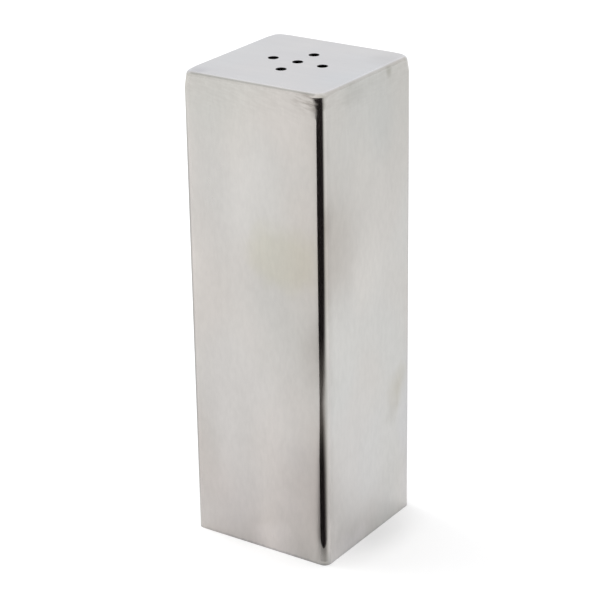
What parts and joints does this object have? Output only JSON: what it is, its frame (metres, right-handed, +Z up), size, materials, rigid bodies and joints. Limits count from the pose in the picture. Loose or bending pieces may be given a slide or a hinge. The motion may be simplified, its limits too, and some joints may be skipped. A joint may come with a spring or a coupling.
{
  "type": "spice shaker",
  "caption": "Tall square brushed-steel spice shaker with round pour holes in its flat top and a pull-out stopper in its recessed base.",
  "frame": {"origin": "middle of the foot, on the table", "axes": "+Z up through the pour holes, +X and +Y square to the flat sides"},
  "size_m": [0.038, 0.038, 0.1165],
  "materials": {
    "brushed_steel": "brushed lengthways on the sides and across the top, polished along the edges",
    "soft_plastic": "soft milky plastic with a matt moulded skin"
  },
  "bodies": {
    "shaker": {"body_sleeve": "brushed_steel", "pour_cap": "brushed_steel", "base_pan": "brushed_steel"},
    "plug": {"stopper": "soft_plastic"}
  },
  "joints": [
    {"name": "stopper_pull", "type": "slide", "parent": "shaker", "child": "plug", "axis": [0, 0, -1], "range_m": [0, 0.03]}
  ]
}
